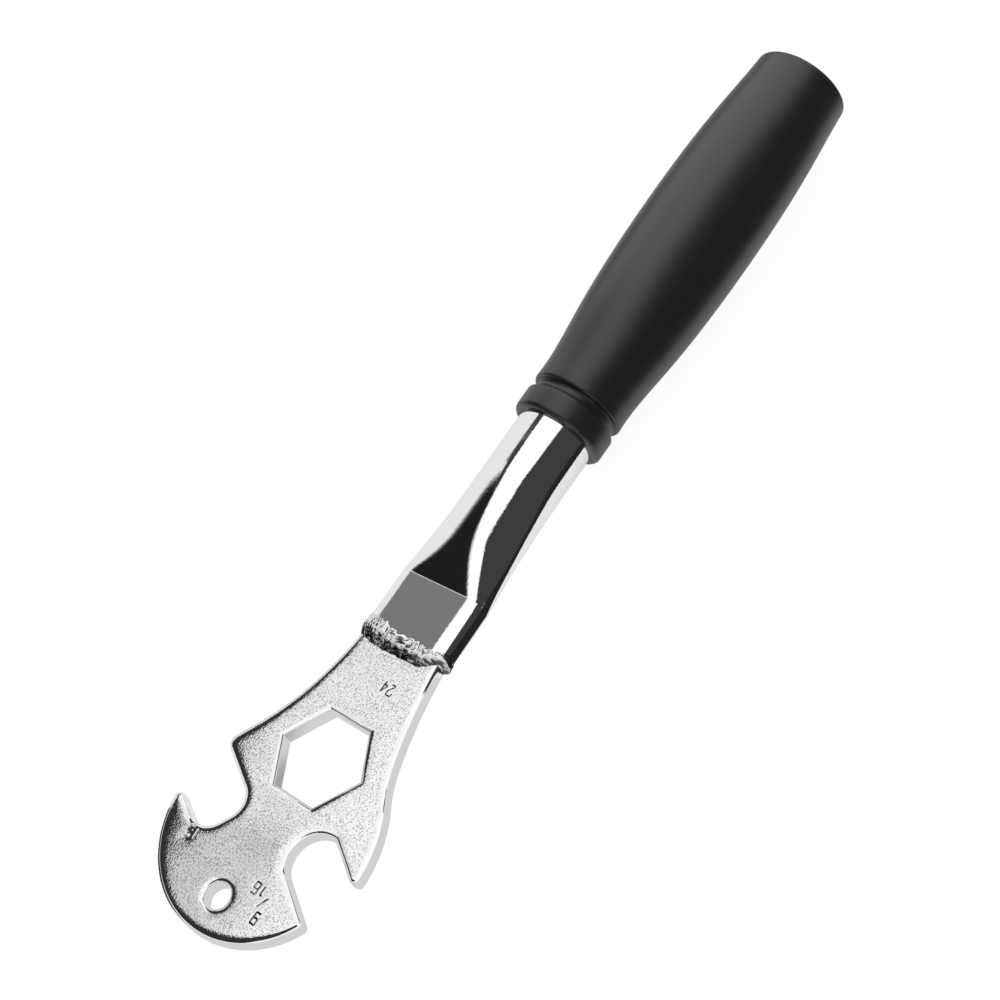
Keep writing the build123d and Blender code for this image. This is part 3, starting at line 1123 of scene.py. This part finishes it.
@dataclass
class Grip:
    """The moulded grip with its collar, groove and belly."""

    start: float = 107.9
    bore_radius: float = 11.15
    bore_end: float = 232.4
    bore_lip: float = 0.3
    collar_radius: float = 13.45
    collar_end: float = 115.1
    collar_front_round: float = 1.6
    collar_back_round: float = 0.6
    groove_radius: float = 12.2
    body_start: float = 117.9
    rim_radius: float = 13.5
    rim_round: float = 1.1
    end: float = 235.4
    tail_round: float = 1.2
    tail_slope: float = -0.05
    tail_flat: float = 9.0
    pole_ring: float = 1.0
    body_shares: tuple[float, ...] = (0.035, 0.19, 0.515, 0.825, 1.0)
    body_radii: tuple[float, ...] = (13.4, 14.85, 16.7, 15.65, 14.05)
    around: int = 256

    def body_curve(self, stations: np.ndarray) -> np.ndarray:
        """Radius of the body: one smooth curve through its named radii.

        The curve is a cubic between each two radii. Their slopes are those at which the bends
        meet without a step, with no slope at the waist and the tail's own slope at the end.

        Args:
            stations: distances along the handle.

        Returns:
            The radius at each.
        """
        knots = self.body_start + np.array(self.body_shares) * (self.end - self.body_start)
        radii = np.array(self.body_radii)
        runs = np.diff(knots)
        rises = np.diff(radii) / runs
        count = len(knots)
        system = np.zeros((count, count))
        wanted = np.zeros(count)
        system[0, 0] = system[-1, -1] = 1.0
        wanted[-1] = self.tail_slope
        inner = np.arange(1, count - 1)
        system[inner, inner - 1] = runs[1:]
        system[inner, inner] = 2 * (runs[:-1] + runs[1:])
        system[inner, inner + 1] = runs[:-1]
        wanted[inner] = 3 * (runs[1:] * rises[:-1] + runs[:-1] * rises[1:])
        slopes = np.linalg.solve(system, wanted)
        span = np.clip(np.searchsorted(knots, stations) - 1, 0, count - 2)
        share = (stations - knots[span]) / runs[span]
        start_part = (1 + 2 * share) * (1 - share) ** 2 * radii[span]
        start_slope = share * (1 - share) ** 2 * runs[span] * slopes[span]
        end_part = share**2 * (3 - 2 * share) * radii[span + 1]
        end_slope = share**2 * (share - 1) * runs[span] * slopes[span + 1]
        return start_part + start_slope + end_part + end_slope

    @staticmethod
    def corner(x: float, radius: float, bend: float, first: float, last: float) -> np.ndarray:
        """Points of a quarter round, from one angle to another about its centre."""
        angle = np.radians(np.linspace(first, last, 13))
        return np.stack([x + bend * np.cos(angle), radius + bend * np.sin(angle)], axis=-1)

    def profile(self) -> np.ndarray:
        """Draw the grip's half section, from the floor of its bore round to its tail.

        Returns:
            Its points, each a distance along the handle and a radius.
        """
        waist = self.body_start + self.body_shares[0] * (self.end - self.body_start)
        body = np.linspace(waist, self.end - self.tail_round, 160)
        front, back = self.collar_front_round, self.collar_back_round
        rim, tail = self.rim_round, self.tail_round
        tail_radius = self.body_curve(np.array([self.end - tail]))[0]
        mouth = self.bore_radius + self.bore_lip
        parts = [
            np.array([[self.bore_end, self.pole_ring], [self.bore_end, self.bore_radius]]),
            np.array([[self.start, self.bore_radius], [self.start, mouth]]),
            self.corner(self.start + front, self.collar_radius - front, front, 180, 90),
            self.corner(self.collar_end - back, self.collar_radius - back, back, 90, 0),
            np.array([[x, self.groove_radius] for x in (self.collar_end, self.body_start)]),
            self.corner(self.body_start + rim, self.rim_radius - rim, rim, 180, 92),
            np.stack([body, self.body_curve(body)], axis=-1),
            self.corner(self.end - tail, tail_radius - tail, tail, 90, 0)[1:],
            np.array([[self.end, self.tail_flat], [self.end, self.pole_ring]]),
        ]
        return np.concatenate(parts)

    def build(self) -> bpy.types.Object:
        """Turn the profile about the handle into one closed moulding.

        Returns:
            The grip, in place of its CAD node.
        """
        profile = self.profile()
        angle = 2 * math.pi * np.arange(self.around)[None, :] / self.around
        along, radius = profile[:, :1], profile[:, 1:]
        rings = stacked(along, radius * np.cos(angle), radius * np.sin(angle))
        poles = np.array([[self.bore_end, 0.0, 0.0], [self.end, 0.0, 0.0]])
        points = np.concatenate([rings.reshape(-1, 3), poles])
        quads = ring_quads(len(profile), self.around, closed_rows=False)[:, ::-1]
        ring = np.arange(self.around)
        after = (ring + 1) % self.around
        last = (len(profile) - 1) * self.around
        first_fan = stacked(len(points) - 2, after, ring)
        last_fan = stacked(len(points) - 1, last + ring, last + after)
        piece = make_piece("grip_moulding", points, quads, np.concatenate([first_fan, last_fan]))
        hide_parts("grip")
        Finish.GRIP.dress(piece)
        return piece


# ---------------------------------------------------------------- the studio


@dataclass
class Camera:
    """The camera at the photograph's place, on the wrench's axes."""

    place: tuple[float, float, float] = (-109.20, -371.21, 542.78)
    right: tuple[float, float, float] = (0.55165285, -0.76577806, -0.33054967)
    up: tuple[float, float, float] = (0.78488278, 0.3425241, 0.51636834)
    ahead: tuple[float, float, float] = (0.28220231, 0.54429881, -0.79000041)
    focal_pixels: float = 2578.1
    picture_pixels: float = 1000.0
    sensor: float = 36.0

    def build(self) -> bpy.types.Object:
        """Make the camera and use it for the scene.

        Returns:
            The camera.
        """
        data = bpy.data.cameras.new("camera")
        data.sensor_width = self.sensor
        data.lens = self.focal_pixels * self.sensor / self.picture_pixels
        data.clip_start = 0.01
        camera = bpy.data.objects.new("camera", data)
        axes = [AXES.direction(self.right), AXES.direction(self.up), -AXES.direction(self.ahead)]
        matrix = np.eye(4)
        matrix[:3] = np.column_stack([*axes, AXES.place(self.place)])
        camera.matrix_world = Matrix(matrix.tolist())
        bpy.context.scene.collection.objects.link(camera)
        bpy.context.scene.camera = camera
        return camera


@dataclass(frozen=True)
class Card:
    """A card that only gloss sees. A dark one gives chrome its darks, and a light one its lights.

    One with folds is a pale cloth with darker folds, which the blasted face's grain breaks into
    specks. The far end is the share of the level that is left at the card's end by the grip.
    """

    name: str
    corners: tuple[tuple[float, float, float], ...]
    level: float = 0.0
    folds: float = 0.0
    fold_width: float = 7.0
    fold_noise: float = 0.40
    plain_noise: float = 0.56
    far_end: float = 1.0

    def build(self) -> bpy.types.Object:
        """Make the card from its corners, as a strip of quads taken two by two.

        Returns:
            The card.
        """
        mesh = bpy.data.meshes.new(self.name)
        pairs = range(0, len(self.corners) - 2, 2)
        faces = [(first, first + 1, first + 3, first + 2) for first in pairs]
        places = AXES.place(self.corners)
        mesh.from_pydata(places.tolist(), [], faces)
        material, tree = new_material(f"paper_of_{self.name}")
        place = add_node(tree, "ShaderNodeTexCoord").outputs["Object"]
        scale = 1.0 / (self.fold_width * MM)
        cloth = add_node(tree, "ShaderNodeTexNoise", Vector=place, Scale=scale, Detail=1.0)
        level = add_node(
            tree, "ShaderNodeMapRange", SMOOTH, Value=cloth, From_Min=self.fold_noise,
            From_Max=self.plain_noise, To_Min=self.level * (1.0 - self.folds), To_Max=self.level,
        )
        share = add_node(
            tree, "ShaderNodeMapRange", SMOOTH,
            Value=add_node(tree, "ShaderNodeSeparateXYZ", Vector=place).outputs["X"],
            From_Min=places[:, 0].min(), From_Max=places[:, 0].max(), To_Min=1.0,
            To_Max=self.far_end,
        )
        graded = add_node(tree, "ShaderNodeMath", MULTIPLY, s0=level, s1=share)
        paper = add_node(tree, "ShaderNodeEmission", Color=linear("#FFFFFF"), Strength=graded)
        add_node(tree, "ShaderNodeOutputMaterial", s0=paper)
        mesh.materials.append(material)
        card = bpy.data.objects.new(self.name, mesh)
        bpy.context.scene.collection.objects.link(card)
        card.visible_camera = card.visible_diffuse = False
        card.visible_shadow = card.visible_transmission = False
        return card


def arch_corners(radius: float, first: float, last: float, start: float, end: float) -> tuple:
    """Bend a card about the handle.

    Args:
        radius: how far it stands from the handle.
        first: the angle where it starts, in degrees from straight up.
        last: the angle where it ends.
        start: where it starts along the handle.
        end: where it ends along it.

    Returns:
        The card's corners.
    """
    angles = np.radians(np.linspace(first, last, 16))
    arch = [(radius * math.sin(angle), radius * math.cos(angle)) for angle in angles]
    return tuple((x, *turned) for turned in arch for x in (start, end))


@dataclass
class Studio:
    """A white studio that is dark beyond the far side, which gives chrome its dark edges.

    The pairs of angles are degrees from straight up towards the far side, between which something
    starts or ends. The edge, what lies ahead and the gap's stops are reaches, which say how far a
    direction points along the handle. Each stop has its level.
    """

    white: float = 1.05
    far_light: float = 0.82
    far_dark: float = 0.012
    ahead_dark: float = 0.02
    bulge_start: tuple[float, float] = (26.0, 40.0)
    bulge_end: tuple[float, float] = (62.0, 48.0)
    gap_end: tuple[float, float] = (42.0, 46.0)
    far_side: tuple[float, float] = (26.0, 29.0)
    near_side: tuple[float, float] = (-50.0, -20.0)
    ahead: tuple[float, float] = (-0.45, -0.6)
    edge: float = 0.015
    edge_bulge: float = 0.03
    edge_soft: tuple[float, float] = (-0.02, 0.03)
    gap_stops: tuple[tuple[float, float], ...] = (
        (0.03, 0.012), (0.08, 0.80), (0.14, 0.80), (0.16, 0.19), (0.28, 0.19), (0.31, 0.03),
    )
    floor_size: float = 8.0
    floor_seen: float = 1.13
    floor_seen_share: float = 0.8
    floor_glow: float = 1.0
    floor_glow_share: float = 0.45
    cards: tuple[Card, ...] = (
        Card(
            "flag_beside_tube",
            (
                (41, -40, -30), (41, -40, 15), (61, -40, -30), (61, -40, 24),
                (70, -62, -30), (70, -62, 50), (600, -62, -50), (600, -62, 50),
            ),
            0.045,
        ),
        Card(
            "flag_above_tube",
            (
                (68, -14, 50), (72, -63, 50), (70, -7, 50), (74, -63, 50),
                (72.6, 0, 50), (76, -63, 50), (76.6, -5, 50), (80, -63, 50),
                (80, -9, 50), (84, -63, 50), (87, -17, 50), (92, -63, 50),
                (106, -30, 50), (106, -63, 50), (125, -36, 50), (125, -63, 50),
                (600, -36, 50), (600, -63, 50),
            ),
            0.045,
        ),
        Card("strip_above_tube", ((84, 20, 50), (84, 28, 50), (113, 19, 50), (113, 35, 50)), 0.05),
        Card(
            "flag_under_tube",
            (
                (37, -14, -8.4), (52, -64, -9.7), (56, -15, -9.6), (70, -64, -10.9),
                (85, -30, -11.6), (100, -64, -12.6), (300, -34, -26), (300, -64, -26),
            ),
            0.018,
        ),
        Card("card_beside_head", ((-70, 42, 5), (-70, 42, 34), (43, 42, 5), (43, 42, 22)), 0.03),
        Card(
            "card_under_head", ((-70, -60, -1.3), (-70, 20, -1.3), (37, -60, -8.5), (37, 20, -8.5)),
            0.66,
        ),
        Card(
            "card_under_hexagon", ((-6, 3, -5), (-6, 15, -5), (4, 3, -5.8), (4, 15, -5.8)),
            0.38, far_end=1.74,
        ),
        Card(
            "card_beside_hexagon", ((-14, 3, -4.6), (-14, 15, -4.6), (-6, 3, -5), (-6, 15, -5)),
            0.38,
        ),
        Card(
            "card_beyond_crown",
            (
                (-62, 15, -1.75), (-62, 70, -1.75), (-52, 17, -2.42), (-52, 70, -2.42),
                (-45, 26, -2.9), (-45, 70, -2.9), (-30, 34, -3.9), (-30, 70, -3.9),
            ),
            0.05,
        ),
        Card("light_beside_head", ((14, -40, 8), (14, -40, 42), (37, -40, 8), (37, -40, 42)), 1.0),
        Card(
            "cloth_over_near_side",
            (
                (-50, -55, 30), (44, -32, 30), (-54, -30, 30), (44, -28, 30),
                (-60, 10, 30), (44, 10, 30),
            ),
            1.06, 0.20, 4.0,
        ),
        Card(
            "cloth_over_neck", ((-18, 10, 30), (-18, 48, 30), (44, 10, 30), (44, 48, 30)),
            1.02, 0.32, 4.0,
        ),
        Card(
            "cloth_over_crown", ((-60, 10, 30), (-62, 48, 30), (-18, 10, 30), (-18, 48, 30)),
            0.84, 0.42, 4.0,
        ),
        Card(
            "flag_beyond_crown",
            (
                (-130, -70, 30), (-48, -70, 30), (-130, -30, 30), (-54, -30, 30),
                (-130, 10, 30), (-60, 10, 30), (-130, 60, 30), (-62, 60, 30),
            ),
            0.03,
        ),
        Card("flag_over_grip", arch_corners(150.0, -112.0, -20.0, 162.0, 300.0), 0.04),
        Card("light_over_grip", arch_corners(150.0, 0.0, 75.0, 178.0, 600.0), 1.25),
        Card("flag_beyond_grip", arch_corners(150.0, 82.0, 150.0, 178.0, 600.0), 0.10),
    )

    def build_world(self) -> None:
        """Light from all round: white overhead and behind the camera, graded on the far side.

        The angle is that from straight up towards the far side, and the reach is how far the
        direction points along the handle. Beyond the far side it is dark short of an edge that
        bulges along the handle, with a narrow gap between the two lights next to that bulge.
        """
        world = bpy.data.worlds.new("studio")
        bpy.context.scene.world = world
        world.use_nodes = True
        tree = world.node_tree
        tree.nodes.clear()
        way = add_node(tree, "ShaderNodeTexCoord").outputs["Generated"]
        reach, far, up = [
            add_node(tree, "ShaderNodeVectorMath", DOT, s0=way, s1=tuple(axis)).outputs["Value"]
            for axis in AXES.matrix()
        ]
        radians = add_node(tree, "ShaderNodeMath", {"operation": "ARCTAN2"}, s0=far, s1=up)
        angle = add_node(tree, "ShaderNodeMath", MULTIPLY, s0=radians, s1=180 / math.pi)
        turns = (self.bulge_start, self.bulge_end, self.gap_end, self.far_side, self.near_side)
        bulge_start, bulge_end, past_gap, on_far_side, above = [
            add_node(tree, "ShaderNodeMapRange", SMOOTH, Value=angle, From_Min=low, From_Max=high)
            for low, high in turns
        ]
        bulge = add_node(tree, "ShaderNodeMath", MULTIPLY, s0=bulge_start, s1=bulge_end)
        scaled = {"operation": "MULTIPLY_ADD"}
        edge = add_node(tree, "ShaderNodeMath", scaled, s0=bulge, s1=self.edge_bulge, s2=self.edge)
        beyond = add_node(tree, "ShaderNodeMath", {"operation": "SUBTRACT"}, s0=reach, s1=edge)
        open_far = add_node(
            tree, "ShaderNodeMapRange", SMOOTH, Value=beyond, From_Min=self.edge_soft[0],
            From_Max=self.edge_soft[1], To_Min=self.far_dark, To_Max=self.far_light,
        )
        gap = add_node(tree, "ShaderNodeValToRGB", s0=reach)
        while len(gap.color_ramp.elements) < len(self.gap_stops):
            gap.color_ramp.elements.new(0.5)
        for element, (stop, level) in zip(gap.color_ramp.elements, self.gap_stops):
            element.position = stop
            element.color = (level, level, level, 1.0)
        gap_level = add_node(tree, "ShaderNodeMath", {"operation": "MINIMUM"}, s0=gap, s1=open_far)
        beyond_side = add_node(tree, "ShaderNodeMix", FLOAT, s0=past_gap, s2=gap_level, s3=open_far)
        near = add_node(tree, "ShaderNodeMix", FLOAT, s0=on_far_side, s2=self.white, s3=beyond_side)
        low, high = self.ahead
        ahead = add_node(
            tree, "ShaderNodeMapRange", SMOOTH, Value=reach, From_Min=low, From_Max=high
        )
        dark_ahead = add_node(tree, "ShaderNodeMath", MULTIPLY, s0=ahead, s1=above)
        level = add_node(tree, "ShaderNodeMix", FLOAT, s0=dark_ahead, s2=near, s3=self.ahead_dark)
        seen = add_node(tree, "ShaderNodeLightPath").outputs["Is Camera Ray"]
        shown = add_node(tree, "ShaderNodeMix", FLOAT, s0=seen, s2=level, s3=1.0)
        light = add_node(tree, "ShaderNodeBackground", Color=linear("#FFFFFF"), Strength=shown)
        add_node(tree, "ShaderNodeOutputWorld", s0=light)

    def floor_material(self) -> bpy.types.Material:
        """Make white paper that keeps the wrench's soft shadow, seen white by camera and chrome.

        Returns:
            The material.
        """
        material, tree = new_material("white_paper_floor")
        rays = add_node(tree, "ShaderNodeLightPath").outputs
        paper = add_node(tree, "ShaderNodeBsdfDiffuse", Color=linear("#F2F2F2"))
        result = paper
        for ray, strength, share in (
            ("Is Camera Ray", self.floor_seen, self.floor_seen_share),
            ("Is Glossy Ray", self.floor_glow, self.floor_glow_share),
        ):
            white = add_node(tree, "ShaderNodeEmission", Color=linear("#FFFFFF"), Strength=strength)
            mixed = add_node(tree, "ShaderNodeMixShader", s0=share, s1=paper, s2=white)
            result = add_node(tree, "ShaderNodeMixShader", s0=rays[ray], s1=result, s2=mixed)
        add_node(tree, "ShaderNodeOutputMaterial", s0=result)
        return material

    def build_floor(self) -> bpy.types.Object:
        """Lay the floor that the wrench rests on.

        Returns:
            The floor.
        """
        half = self.floor_size / 2
        mesh = bpy.data.meshes.new("floor")
        corners = [(-half, -half, 0), (half, -half, 0), (half, half, 0), (-half, half, 0)]
        mesh.from_pydata(corners, [], [(0, 1, 2, 3)])
        mesh.materials.append(self.floor_material())
        floor = bpy.data.objects.new("floor", mesh)
        bpy.context.scene.collection.objects.link(floor)
        return floor

    def build(self) -> None:
        """Set up the light, the floor and the cards."""
        self.build_world()
        self.build_floor()
        for card in self.cards:
            card.build()
        bpy.context.scene.view_settings.view_transform = "Standard"


@dataclass
class MultiWrench:
    """The whole wrench, built from its pieces in order."""

    head: Head = field(default_factory=Head)
    tube: Tube = field(default_factory=Tube)
    weld: Weld = field(default_factory=Weld)
    grip: Grip = field(default_factory=Grip)

    def build(self, frame: dict) -> None:
        """Build and dress each piece, and report it.

        Args:
            frame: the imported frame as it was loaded.
        """
        pieces = [self.head.build(frame), self.tube.build(), self.weld.build(), self.grip.build()]
        for piece in pieces:
            log.info("%s: %d faces", piece.name, len(piece.data.polygons))


def main() -> None:
    """Build the camera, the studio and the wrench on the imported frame."""
    logging.basicConfig(level=logging.INFO, format="%(message)s")
    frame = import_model()
    Camera().build()
    Studio().build()
    MultiWrench().build(frame)
    bpy.context.view_layer.update()


if __name__ == "__main__":
    main()
